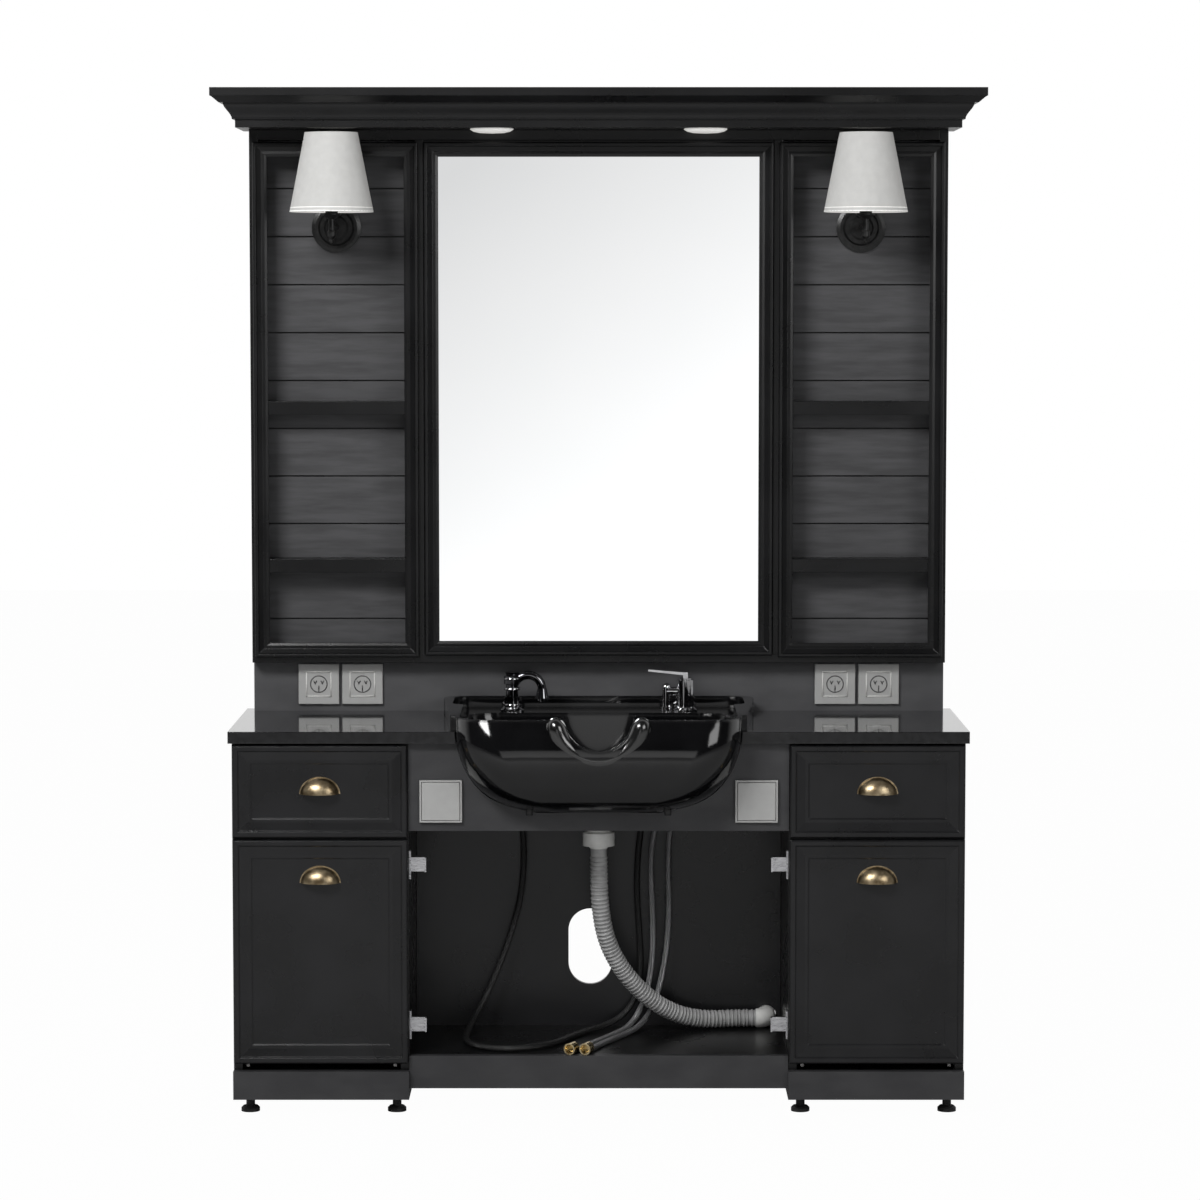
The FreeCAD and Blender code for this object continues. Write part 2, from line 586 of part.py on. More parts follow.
def upper_cabinet():
    gable = box(UPPER_HALF - BOARD, UPPER_HALF, UPPER_FRONT, WALL_Y, UPPER_LOW, UPPER_HIGH)
    leg = box(UPPER_HALF - BOARD, UPPER_HALF, SPLASH_FACE + BOARD, WALL_Y, COUNTER_TOP, UPPER_LOW)
    add("upper_gables", *pair(gable.fuse(leg).removeSplitter()))
    add("backsplash", backsplash())

    inner = PARTITION_X - BOARD / 2
    low, high = UPPER_LOW + BOARD, MOULDING_HIGH + 5
    add("upper_boards",
        *pair(box(inner, NICHE_INNER, UPPER_FRONT, UPPER_BACK_FACE, low, high)),
        box(-NICHE_OUTER, NICHE_OUTER, UPPER_FRONT, WALL_Y, UPPER_LOW, low),
        box(-NICHE_OUTER, NICHE_OUTER, UPPER_FRONT, WALL_Y, high, UPPER_HIGH))
    mirror_back = UPPER_FRONT + MIRROR_THICK
    add("upper_backs",
        box(-NICHE_OUTER, NICHE_OUTER, UPPER_BACK_FACE, WALL_Y, low, high),
        box(-inner, inner, mirror_back, mirror_back + THIN_BOARD, low, high))

    planks = []
    z = high
    while z > low + PLANK_GAP:
        bottom = max(z - PLANK_PITCH + PLANK_GAP, low)
        planks += pair(box(NICHE_INNER, NICHE_OUTER, PLANK_FACE, UPPER_BACK_FACE, bottom, z))
        z -= PLANK_PITCH
    add("niche_planks", *planks)

    shelves = []
    for part in SHELF_PARTS:
        top = MOULDING_LOW + part * (MOULDING_HIGH - MOULDING_LOW)
        shelves += pair(box(NICHE_INNER, NICHE_OUTER, UPPER_FRONT + SHELF_CLEAR, PLANK_FACE,
                            top - SHELF_THICK, top))
    add("niche_shelves", *shelves)

    add("niche_mouldings", *pair(moulding(NICHE_INNER - 7, UPPER_HALF - BOARD + MOULDING_LAP,
                                          MOULDING_LOW, MOULDING_HIGH)))
    half = inner - 1
    add("mirror_moulding", moulding(-half, half, MOULDING_LOW + 4, MOULDING_HIGH))
    glass = half - MOULDING_WIDTH + MIRROR_LAP
    low_glass = MOULDING_LOW + 4 + MOULDING_WIDTH - MIRROR_LAP
    high_glass = MOULDING_HIGH - MOULDING_WIDTH + MIRROR_LAP
    add("mirror_glass", box(-glass, glass, UPPER_FRONT, UPPER_FRONT + MIRROR_THICK, low_glass, high_glass))


def backsplash():
    board = box(-UPPER_HALF, UPPER_HALF, SPLASH_FACE, SPLASH_FACE + BOARD, COUNTER_TOP, UPPER_LOW)
    half = SWITCH_BOX[0] / 2
    for x in SOCKET_X:
        for sx in (-x, x):
            board = board.cut(box(sx - half, sx + half, SPLASH_FACE - 1, SPLASH_FACE + BOARD + 1,
                                  SOCKET_Z - half, SOCKET_Z + half))
    return board


def crown():
    """Mitred moulding round the front and both sides, on a soffit board."""
    z, top = UPPER_HIGH, TOTAL_HEIGHT
    band = 17.0
    step = 31.0
    ogee_low, ogee_high = Vector(6, 0, z + band), Vector(23, 0, z + band + 33)

    def layer(points):
        """One horizontal slice as a mitred block, from (out, z) points of its outer edge."""
        wires = []
        for out, height in points:
            x, y = CROWN_HALF + out, CROWN_FRONT - out
            corners = [Vector(-x, WALL_Y, height), Vector(-x, y, height), Vector(x, y, height),
                       Vector(x, WALL_Y, height)]
            wires.append(Part.makePolygon(corners + corners[:1]))
        return Part.makeLoft(wires, True, True)

    waves = 8
    ogee = []
    for i in range(waves + 1):
        t = i / waves
        out = ogee_low.x + (ogee_high.x - ogee_low.x) * (1 - math.cos(math.pi * t)) / 2
        ogee.append((out, ogee_low.z + (ogee_high.z - ogee_low.z) * t))
    high = top - band
    layers = [
        layer(((0, z), (0, z + band))),
        layer(ogee),
        layer(((step, ogee_high.z), (CROWN_OUT - 2, high))),
        layer(((CROWN_OUT, high), (CROWN_OUT, top))),
    ]
    solid = layers[0].fuse(layers[1:]).removeSplitter()
    inside = CROWN_HALF - BOARD
    hollow = box(-inside, inside, CROWN_FRONT + BOARD, WALL_Y + 1, z - 1, top + 1)
    add("crown_moulding", solid.cut(hollow))

    soffit = box(-inside, inside, CROWN_FRONT + BOARD, WALL_Y, z, z + SOFFIT_THICK)
    spots = []
    spot_y = CROWN_FRONT + BOARD + 2 + SPOT_R
    for x in (-SPOT_X, SPOT_X):
        soffit = soffit.cut(rod(SPOT_BODY_R + SPOT_FIT, (x, spot_y, z - 1),
                                (x, spot_y, z + SOFFIT_THICK + 1)))
        low = z - SPOT_DROP
        spots.append(turned(((0, low), (SPOT_R * 0.6, low + 1.5), (SPOT_R * 0.85, low + 4), (SPOT_R, z - 2),
                             (SPOT_R, z), (SPOT_BODY_R, z), (SPOT_BODY_R, z + SPOT_BODY), (0,
                                                            z + SPOT_BODY)), (x, spot_y)))
    cover = box(-inside, inside, CROWN_FRONT + BOARD, WALL_Y, top - band, top - band + THIN_BOARD)
    add("crown_boards", soffit, cover)
    add("spotlights", *spots)


# ================================================================ sockets and switches
def wall_sockets():
    for side, sign in (("left", -1), ("right", 1)):
        for place, x in zip(("inner", "outer"), SOCKET_X):
            half = PLATE / 2
            cx = sign * x
            plate = box(cx - half, cx + half, SPLASH_FACE - PLATE_THICK, SPLASH_FACE, SOCKET_Z - half,
                        SOCKET_Z + half)
            plate = plate.makeFillet(1.5, [e for e in plate.Edges if e.BoundBox.YMax < SPLASH_FACE - 1])
            well = SWITCH_BOX[0] / 2 - 2
            body = box(cx - well, cx + well, SPLASH_FACE, SPLASH_FACE + SWITCH_BOX[1], SOCKET_Z - well,
                       SOCKET_Z + well)
            socket = plate.fuse(body)
            for dx, tilt in ((-9, 60), (9, -60), (0, 0)):
                slot = box(-3.2, 3.2, -1, 12, -0.9, 0.9) if tilt else box(-0.9, 0.9, -1, 12, -4, 4)
                slot.Placement = Placement(Vector(cx + dx, SPLASH_FACE - PLATE_THICK,
                                                  SOCKET_Z + (4 if tilt else -12)),
                                           Rotation(Vector(0, 1, 0), tilt))
                socket = socket.cut(slot)
            add(f"{side}_{place}_socket", socket.removeSplitter())


def light_switches():
    half, face = PLATE / 2, BAY_FRONT - PLATE_THICK
    frames = []
    for side, x in (("left", -SWITCH_X), ("right", SWITCH_X)):
        plate = box(x - half, x + half, face, BAY_FRONT, SWITCH_Z - half, SWITCH_Z + half)
        well = SWITCH_BOX[0] / 2 - 2
        plate = plate.fuse(box(x - well, x + well, BAY_FRONT, BAY_FRONT + SWITCH_BOX[1],
                               SWITCH_Z - well, SWITCH_Z + well))
        opening = ROCKER / 2 + ROCKER_GAP
        plate = plate.cut(box(x - opening, x + opening, face - 1, face + PLATE_THICK - 1.5,
                              SWITCH_Z - opening, SWITCH_Z + opening))
        inner = well - 3
        plate = plate.cut(box(x - inner, x + inner, face, face + PLATE_THICK + ROCKER_WELL,
                              SWITCH_Z - inner, SWITCH_Z + inner))
        pivot_y = face + ROCKER_THICK + 4
        pin = rod(ROCKER_PIVOT_R, (x - inner - 1, pivot_y, SWITCH_Z), (x + inner + 1, pivot_y, SWITCH_Z))
        frames.append(plate.fuse(pin).removeSplitter())
        r = ROCKER / 2
        key = box(x - r, x + r, face - ROCKER_PROUD, face - ROCKER_PROUD + ROCKER_THICK, SWITCH_Z - r,
                  SWITCH_Z + r)
        key = key.makeFillet(1.2, [e for e in key.Edges if e.BoundBox.YMax < face - ROCKER_PROUD + 1])
        hub = box(x - 12, x + 12, face, pivot_y + 5, SWITCH_Z - 5, SWITCH_Z + 5)
        key = key.fuse(hub).cut(rod(ROCKER_PIVOT_R + HINGE_FIT, (x - 40, pivot_y, SWITCH_Z),
                                    (x + 40, pivot_y, SWITCH_Z)))
        add(f"{side}_switch_rocker", key.removeSplitter())
    add("switch_frames", *frames)


# ================================================================ sconces
def sconces():
    brackets, shades, bulbs = [], [], []
    wall = PLANK_FACE
    axis_y = wall - SCONCE_REACH
    x, z = SCONCE_X, SCONCE_Z
    rose = turned(((0, 0), (ROSE_R, 0), (ROSE_R, 5), (ROSE_R - 8, 8), (ROSE_R - 14, 8), (ROSE_R - 18, 13),
                   (ROSE_R - 26, 13), (ROSE_R - 30, ROSE_THICK), (0, ROSE_THICK)), (0, 0))
    rose.Placement = Placement(Vector(x, wall, z), Rotation(Vector(1, 0, 0), 90))
    stem = rod(ARM_R, (x, wall - 2, z), (x, axis_y, z))
    low, high = SHADE_LOW - 6, SHADE_LOW + 36
    column = turned(((0, z - 38), (4, z - 34), (6, z - 30), (4, z - 26), (9, z - 20), (9, z - 10),
                     (ARM_R + 1, z - 8),
                     (ARM_R + 1, low - 8), (20, low), (20, low + 4), (13, low + 4), (13, high), (0,
                                                            high)), (x, axis_y))
    brackets += pair(rose.fuse([stem, column]))

    t = SHADE_WALL
    shade = turned(((SHADE_LOW_R, SHADE_LOW), (SHADE_TOP_R, SHADE_HIGH), (SHADE_TOP_R - t, SHADE_HIGH),
                    (SHADE_LOW_R - t, SHADE_LOW)), (x, axis_y))
    ring_z = SHADE_HIGH - 22
    ring_r = SHADE_TOP_R + (SHADE_LOW_R - SHADE_TOP_R) * 22 / (SHADE_HIGH - SHADE_LOW) - t / 2
    spider = [rod(1.5, (x - ring_r, axis_y, ring_z), (x + ring_r, axis_y, ring_z)),
              rod(1.5, (x, axis_y - ring_r, ring_z), (x, axis_y + ring_r, ring_z))]
    shades += pair(shade.fuse(spider))
    low, mid = SHADE_LOW + 36, SHADE_LOW + 74
    globe = Part.makeSphere(BULB_R, Vector(x, axis_y, mid + 10))
    neck = turned(((0, low), (13, low), (13, low + 10), (18, mid), (0, mid)), (x, axis_y))
    bulbs += pair(globe.fuse(neck))
    add("sconce_brackets", *brackets)
    add("sconce_shades", *shades)
    add("sconce_bulbs", *bulbs)


# ================================================================ basin and taps
def rim_plate():
    """Raised rim lying on the counter, wider at the back."""
    r = RIM_CORNER
    z = COUNTER_TOP
    back = round_outline(RIM_BACK_HALF, RIM_BACK - 2 * r - 20, RIM_BACK, r, z)
    points = [Vector(-RIM_BACK_HALF, RIM_BACK - r, z), Vector(RIM_BACK_HALF, RIM_BACK - r, z),
              Vector(RIM_FRONT_HALF, COUNTER_FRONT + 4, z), Vector(-RIM_FRONT_HALF, COUNTER_FRONT + 4, z)]
    height = Vector(0, 0, BASIN_TOP - z)
    front = Part.Face(Part.makePolygon(points + points[:1])).extrude(height)
    plate = Part.Face(back).extrude(height).fuse(front)
    return plate.removeSplitter()


def inner_bowl():
    wires = []
    for i, (z, half, front, back, corner) in enumerate(BOWL_SECTIONS):
        t = BASIN_WALL
        lift = t if i == 0 else 0.0
        wires.append(round_outline(half - t, front + t, back - t, corner - t, z + lift))
    last = BOWL_SECTIONS[-1]
    wires.append(round_outline(last[1] - t, last[2] + t, last[3] - t, last[4] - t, last[0] + 30))
    return Part.makeLoft(wires, True, False)


def notch_tool(r, low):
    """U-shaped channel for the neck, sloping down to the front."""
    y0, y1 = BASIN_FRONT - 60, -80.0
    centre = low + r
    wide = r + 8
    section = Part.Wire([
        Part.makeLine(Vector(wide, y0, centre + 120), Vector(r, y0, centre)),
        Part.Arc(Vector(r, y0, centre), Vector(0, y0, low), Vector(-r, y0, centre)).toShape(),
        Part.makeLine(Vector(-r, y0, centre), Vector(-wide, y0, centre + 120)),
        Part.makeLine(Vector(-wide, y0, centre + 120), Vector(wide, y0, centre + 120)),
    ])
    return Part.Face(section).extrude(Vector(0, y1 - y0, 0))


def basin():
    outer = bowl_body(0.0).fuse(rim_plate())
    outer = outer.fuse(rod(DRAIN_BOSS_R, (0, DRAIN_Y, DRAIN_BOSS_LOW), (0, DRAIN_Y, BOWL_LOW + BASIN_WALL)))
    body = outer.cut(inner_bowl())
    recess = Part.Face(round_outline(RIM_BACK_HALF - 22, LEDGE_FRONT - 70, LEDGE_BACK, 30,
                                     COUNTER_TOP + LEDGE_THICK))
    body = body.cut(recess.extrude(Vector(0, 0, BASIN_TOP)))
    body = body.cut(rod(DRAIN_HOLE_R, (0, DRAIN_Y, DRAIN_BOSS_LOW - 1), (0, DRAIN_Y, BOWL_LOW + 30)))
    body = body.cut(notch_tool(NOTCH_R, NOTCH_LOW))
    for x, r in ((-TAP_X, TAP_HOLE_R), (TAP_X, TAP_HOLE_R), (OUTLET_X, OUTLET_HOLE_R)):
        body = body.cut(rod(r, (x, TAP_Y, COUNTER_TOP - 1), (x, TAP_Y, COUNTER_TOP + LEDGE_THICK + 1)))
    for x in (-STUD_X, STUD_X):
        body = body.fuse(rod(STUD_R, (x, STUD_Y, BOWL_LOW - 6), (x, STUD_Y, BOWL_LOW + 8)))
    add("basin", body.removeSplitter())


def neck_rest():
    """Soft roll clipped over the edge of the notch."""
    band = notch_tool(NOTCH_R, NOTCH_LOW).cut(notch_tool(NOTCH_R - ROLL_R, NOTCH_LOW + ROLL_R))
    keep = box(-160, 160, BASIN_FRONT + 1, BASIN_FRONT + 52, NOTCH_LOW - 20, BASIN_TOP + 4)
    add("neck_rest", band.common(keep))


def drain():
    z = BOWL_LOW + BASIN_WALL
    sink = turned(((0, z), (STRAINER_R, z), (STRAINER_R, z + 2), (STRAINER_R - 4, z + 4), (0, z + 4)),
                  (0, DRAIN_Y))
    plug = rod(DRAIN_HOLE_R - 2, (0, DRAIN_Y, z - 8), (0, DRAIN_Y, z))
    strainer = sink.fuse(plug)
    for ring, count in ((10.0, 6), (20.0, 12)):
        for i in range(count):
            a = 2 * math.pi * i / count
            x, y = ring * math.cos(a), DRAIN_Y + ring * math.sin(a)
            strainer = strainer.cut(rod(2.2, (x, y, z - 9), (x, y, z + 5)))
    add("drain_strainer", strainer.removeSplitter())
    low = DRAIN_BOSS_LOW
    waste = turned(((0, WASTE_LOW), (DRAIN_R + 1, WASTE_LOW), (DRAIN_R + 4, WASTE_LOW + 4),
                    (WASTE_NUT_R, WASTE_LOW + 6),
                    (WASTE_NUT_R, WASTE_LOW + 33), (WASTE_BODY_R, WASTE_LOW + 36), (WASTE_BODY_R + 8,
                                                                                    low - 10),
                    (WASTE_BODY_R + 14, low - 8), (WASTE_BODY_R + 14, low), (WASTE_BODY_R,
                                                                             low), (WASTE_BODY_R, z - 12),
                    (WASTE_BODY_R - 4, z - 12), (WASTE_BODY_R - 4, WASTE_LOW + 20), (0,
                                                            WASTE_LOW + 20)), (0, DRAIN_Y))
    add("waste_fitting", waste)

    end = DRAIN_ROUTE[-1]
    y, z = end[1], end[2]
    add("waste_elbow", bent_rod(ELBOW_R, (end[0], y, z), (ELBOW_X, y, z), (ELBOW_X, WALL_Y, z), ELBOW_BEND))


def taps():
    z = COUNTER_TOP + LEDGE_THICK
    low = COUNTER_UNDER
    r = HOLDER_R

    def shank(x, radius):
        """Threaded tail through the ledge and the counter, with its nut below."""
        tail = rod(radius, (x, TAP_Y, SHANK_LOW), (x, TAP_Y, z))
        return tail.fuse(rod(radius + 6, (x, TAP_Y, low - 8), (x, TAP_Y, low)))

    holder = turned(((0, z), (r + 5, z), (r + 5, z + 4), (r, z + 7), (r - 3, z + 9),
                     (r - 3, HOLDER_HIGH), (0, HOLDER_HIGH)),
                    (-TAP_X, TAP_Y))
    holder = holder.fuse(shank(-TAP_X, SHANK_R)).cut(rod(HANDSET_R - 4 + 0.1, (-TAP_X, TAP_Y, z + 2),
                                                         (-TAP_X, TAP_Y, HOLDER_HIGH + 1)))
    add("handset_holder", holder.removeSplitter())

    top = HANDSET_HIGH
    r = HANDSET_R
    peg = rod(r - 4, (-TAP_X, TAP_Y, z + 4), (-TAP_X, TAP_Y, HOLDER_HIGH + 1))
    grip = turned(((0, HOLDER_HIGH + 0.3), (r + 3, HOLDER_HIGH + 0.3), (r + 3, HOLDER_HIGH + 8),
                   (r, HOLDER_HIGH + 10),
                   (r, top - 26), (r + 4, top - 24), (r + 4, top - 8), (r - 1, top - 6), (r + 2,
                                                                                          top), (0,
                                                            top)), (-TAP_X, TAP_Y))
    centre = (-TAP_X + 33.0, top - 36.0)
    hook_r = 30.0
    start = Vector(-TAP_X + 3.0, TAP_Y, centre[1])
    arc = Part.Wire(Part.Arc(start, Vector(centre[0], TAP_Y, centre[1] + hook_r),
                             Vector(centre[0] + hook_r, TAP_Y, centre[1])).toShape())
    hook = arc.makePipeShell([Part.Wire(Part.Circle(start, Vector(0, 0, 1), 9.0).toShape())], True, True)
    head = turned(((0, centre[1] - 24), (12, centre[1] - 24), (14, centre[1] - 18), (10, centre[1] + 2),
                   (0, centre[1] + 2)),
                  (centre[0] + hook_r, TAP_Y))
    add("handset", peg.fuse([grip, hook, head]).removeSplitter())

    r, top = MIXER_R, MIXER_HIGH
    base = turned(((0, z), (r + 6, z), (r + 6, z + 4), (r + 1, z + 8), (r, z + 10), (r, top), (0, top)),
                  (TAP_X, TAP_Y))
    spout = rod(9, (OUTLET_X, TAP_Y, z + 4), (OUTLET_X, TAP_Y, top - 4))
    spout = spout.fuse(Part.makeSphere(9, Vector(OUTLET_X, TAP_Y, top - 4)))
    spout = spout.fuse(rod(9, (OUTLET_X, TAP_Y, top - 12), (TAP_X, TAP_Y, top - 12)))
    ring = rod(12, (OUTLET_X, TAP_Y, z), (OUTLET_X, TAP_Y, z + 10))
    tail = rod(OUTLET_HOLE_R - 1, (OUTLET_X, TAP_Y, SHANK_LOW), (OUTLET_X, TAP_Y, z + 4))
    spindle = rod(6, (TAP_X, TAP_Y, top), (TAP_X, TAP_Y, top + 6))
    add("mixer_base", base.fuse([spout, ring, tail, spindle, shank(TAP_X, SHANK_R)]).removeSplitter())

    low = top + 0.4
    cap = turned(((0, low), (r, low), (r, low + 12), (r - 5, low + 12), (r - 5, low + 16),
                  (0, low + 16)), (TAP_X, TAP_Y))
    cap = cap.cut(rod(6.05, (TAP_X, TAP_Y, low - 1), (TAP_X, TAP_Y, top + 6.5)))
    axle = rod(3, (TAP_X, TAP_Y - 13, low + 22), (TAP_X, TAP_Y + 13, low + 22))
    ears = box(TAP_X - 5, TAP_X + 5, TAP_Y - 13, TAP_Y - 10, low + 10, low + 27)
    ears = ears.fuse(box(TAP_X - 5, TAP_X + 5, TAP_Y + 10, TAP_Y + 13, low + 10, low + 27))
    add("mixer_cap", cap.fuse([ears, axle]).removeSplitter())
    lever = box(TAP_X - 4, TAP_X + 4, TAP_Y - 9.6, TAP_Y + 9.6, low + 17.5, low + 28)
    blade = Part.makeLoft([
        Part.makePolygon([Vector(TAP_X - 4, TAP_Y + a, low + b) for a,
                          b in ((-8, 22), (8, 22), (8, 28), (-8, 28), (-8, 22))]),
        Part.makePolygon([Vector(TAP_X - LEVER_REACH, TAP_Y + a, low + b)
                          for a, b in ((-6, 30), (6, 30), (6, 34), (-6, 34), (-6, 30))]),
    ], True, True)
    lever = lever.fuse(blade).cut(rod(3.05, (TAP_X, TAP_Y - 20, low + 22), (TAP_X, TAP_Y + 20, low + 22)))
    add("mixer_lever", lever.removeSplitter())


def hoses():
    for name, route, r in (("spray_hose", SPRAY_ROUTE, SPRAY_R), ("hot_hose", HOT_ROUTE, SUPPLY_R),
                           ("cold_hose", COLD_ROUTE, SUPPLY_R), ("drain_hose", DRAIN_ROUTE, DRAIN_R)):
        add(name, tube(name, route, r))
    nuts = []
    for route in (HOT_ROUTE, COLD_ROUTE):
        a, b = Vector(*route[-2]), Vector(*route[-1])
        along = (b - a).normalize()
        lift = NUT_R - SUPPLY_R
        nut = Part.makeCylinder(NUT_R, NUT_LENGTH, b, along)
        bore = Part.makeCylinder(NUT_BORE_R, NUT_LENGTH, b + along * 6, along)
        nuts.append(nut.cut(bore).translated(Vector(0, 0, lift)))
    add("hose_nuts", *nuts)


base_cabinet()
countertop()
drawer_runners()
hamper_hinges()
fronts()
upper_cabinet()
crown()
wall_sockets()
light_switches()
sconces()
basin()
neck_rest()
drain()
taps()
hoses()

os.makedirs("parts", exist_ok=True)
for old in os.listdir("parts"):
    if old.endswith(".step"):
        os.remove(os.path.join("parts", old))
for name, shape in nodes.items():
    if not shape.isValid():
        print("not valid:", name)
    shape.exportStep(f"parts/{name}.step")
print(len(nodes), "nodes")
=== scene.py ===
"""Looks of the salon styling station: finishes, softened edges, fittings and hoses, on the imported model."""
import json
import math

import bmesh
import bpy
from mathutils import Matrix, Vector

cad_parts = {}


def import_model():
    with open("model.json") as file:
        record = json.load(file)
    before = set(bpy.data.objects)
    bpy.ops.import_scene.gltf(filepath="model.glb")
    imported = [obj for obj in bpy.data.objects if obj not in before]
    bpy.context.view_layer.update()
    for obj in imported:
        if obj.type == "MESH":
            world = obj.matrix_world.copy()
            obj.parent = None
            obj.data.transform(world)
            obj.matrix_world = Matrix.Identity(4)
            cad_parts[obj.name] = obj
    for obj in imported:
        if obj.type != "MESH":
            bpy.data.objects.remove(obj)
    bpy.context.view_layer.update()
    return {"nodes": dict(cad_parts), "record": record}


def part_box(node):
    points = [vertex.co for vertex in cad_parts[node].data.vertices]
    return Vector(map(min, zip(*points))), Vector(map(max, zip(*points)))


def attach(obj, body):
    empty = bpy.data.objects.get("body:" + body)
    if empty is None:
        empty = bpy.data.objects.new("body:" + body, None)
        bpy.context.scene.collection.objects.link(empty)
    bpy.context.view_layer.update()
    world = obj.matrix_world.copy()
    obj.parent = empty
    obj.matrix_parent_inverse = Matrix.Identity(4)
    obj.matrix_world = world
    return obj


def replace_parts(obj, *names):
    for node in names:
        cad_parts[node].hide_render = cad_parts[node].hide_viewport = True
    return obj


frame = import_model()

MM = 0.001
BODIES = frame["record"]["behaviour"]["bodies"]
NODE_BODY = {node: body for body, members in BODIES.items() for node in members}
NODE_SLOT = {part["node"]: part["material_slot"] for part in frame["record"]["subparts"]}


# ================================================================ camera, light and floor
CAMERA_DISTANCE = 7.99
CAMERA_HEIGHT = 1.665
CAMERA_PITCH = 4.473
CAMERA_LENS = 116.8


def camera():
    data = bpy.data.cameras.new("camera")
    data.lens = CAMERA_LENS
    data.clip_end = 60
    holder = bpy.data.objects.new("camera", data)
    holder.location = (0.0027, -CAMERA_DISTANCE, CAMERA_HEIGHT)
    holder.rotation_euler = (math.radians(90 - CAMERA_PITCH), 0, 0)
    bpy.context.scene.collection.objects.link(holder)
    bpy.context.scene.camera = holder


CARD_BEHIND, CARD_HALF, CARD_LOW, CARD_HIGH = 1.5, 0.85, -0.02, 2.45
FLOOR_GLOW = 0.98
LIGHTS = {                         # place, target, size, watts
    "key": ((-2.2, -3.6, 3.9), (0, 0, 1.0), (2.0, 1.2), 205),
    "fill": ((3.0, -4.0, 2.6), (0, 0, 0.9), (2.0, 2.0), 60),
    "bay_fill": ((0.0, -3.6, 0.9), (0, 0.2, 0.3), (1.6, 0.6), 14),
}
UNSEEN_IN_GLOSS = {"bay_fill"}


def area_light(name, place, target, size, watts):
    data = bpy.data.lights.new(name, "AREA")
    data.shape = "RECTANGLE"
    data.size, data.size_y = size
    data.energy = watts
    holder = bpy.data.objects.new(name, data)
    holder.location = place
    holder.rotation_euler = (Vector(target) - Vector(place)).to_track_quat("-Z", "Y").to_euler()
    bpy.context.scene.collection.objects.link(holder)
    return holder


def world():
    """White all round for the camera; for light, bright behind the station and dim in front of it."""
    sky = bpy.data.worlds.new("studio")
    sky.use_nodes = True
    bpy.context.scene.world = sky
    nodes, links = sky.node_tree.nodes, sky.node_tree.links
    nodes.clear()
    out = nodes.new("ShaderNodeOutputWorld")
    mix = nodes.new("ShaderNodeMixShader")
    seen = nodes.new("ShaderNodeBackground")
    lit = nodes.new("ShaderNodeBackground")
    path = nodes.new("ShaderNodeLightPath")
    place = nodes.new("ShaderNodeTexCoord")
    split = nodes.new("ShaderNodeSeparateXYZ")
    ramp = nodes.new("ShaderNodeValToRGB")
    shift = nodes.new("ShaderNodeMapRange")
    seen.inputs["Color"].default_value = (1, 1, 1, 1)
    seen.inputs["Strength"].default_value = 1.0
    shift.inputs["From Min"].default_value = -1.0
    shift.inputs["From Max"].default_value = 1.0
    ramp.color_ramp.elements[0].position = 0.40
    ramp.color_ramp.elements[0].color = (0.035, 0.035, 0.035, 1)
    ramp.color_ramp.elements[1].position = 0.56
    ramp.color_ramp.elements[1].color = (1.0, 1.0, 1.0, 1)
    lit.inputs["Strength"].default_value = 0.9
    links.new(place.outputs["Generated"], split.inputs[0])
    links.new(split.outputs["Y"], shift.inputs["Value"])
    links.new(shift.outputs["Result"], ramp.inputs["Fac"])
    links.new(ramp.outputs["Color"], lit.inputs["Color"])
    links.new(path.outputs["Is Camera Ray"], mix.inputs["Fac"])
    links.new(lit.outputs[0], mix.inputs[1])
    links.new(seen.outputs[0], mix.inputs[2])
    links.new(mix.outputs[0], out.inputs[0])


def plain(name, colour, rough):
    made = bpy.data.materials.new(name)
    made.use_nodes = True
    shader = made.node_tree.nodes["Principled BSDF"]
    shader.inputs["Base Color"].default_value = (*colour, 1)
    shader.inputs["Roughness"].default_value = rough
    return made


def flat_quad(name, corners, material):
    mesh = bpy.data.meshes.new(name)
    mesh.from_pydata(corners, [], [(0, 1, 2, 3)])
    mesh.materials.append(material)
    piece = bpy.data.objects.new(name, mesh)
    bpy.context.scene.collection.objects.link(piece)
    return piece


def mirror_card():
    """Soft white card behind the camera, for the mirror to reflect in the front view."""
    made = bpy.data.materials.new("card")
    made.use_nodes = True
    nodes, links = made.node_tree.nodes, made.node_tree.links
    nodes.clear()
    out = nodes.new("ShaderNodeOutputMaterial")
    glow = nodes.new("ShaderNodeEmission")
    place = nodes.new("ShaderNodeTexCoord")
    split = nodes.new("ShaderNodeSeparateXYZ")
    blend = nodes.new("ShaderNodeMath")
    ramp = nodes.new("ShaderNodeValToRGB")
    blend.operation = "MULTIPLY_ADD"
    blend.inputs[1].default_value = -0.5
    ramp.color_ramp.elements[0].position = 0.08
    ramp.color_ramp.elements[0].color = (1.08, 1.08, 1.08, 1)
    ramp.color_ramp.elements[1].position = 0.85
    ramp.color_ramp.elements[1].color = (0.74, 0.74, 0.74, 1)
    links.new(place.outputs["Generated"], split.inputs[0])
    links.new(split.outputs["X"], blend.inputs[0])
    links.new(split.outputs["Z"], blend.inputs[2])
    links.new(blend.outputs[0], ramp.inputs["Fac"])
    links.new(ramp.outputs["Color"], glow.inputs["Color"])
    links.new(glow.outputs[0], out.inputs[0])
    y = -CAMERA_DISTANCE - CARD_BEHIND
    across = (-CARD_HALF, CARD_HALF)
    card = flat_quad("mirror_card", [(across[0], y, CARD_LOW), (across[1], y, CARD_LOW),
                                    (across[1], y, CARD_HIGH), (across[0], y, CARD_HIGH)], made)
    card.visible_camera = False
    card.visible_diffuse = False


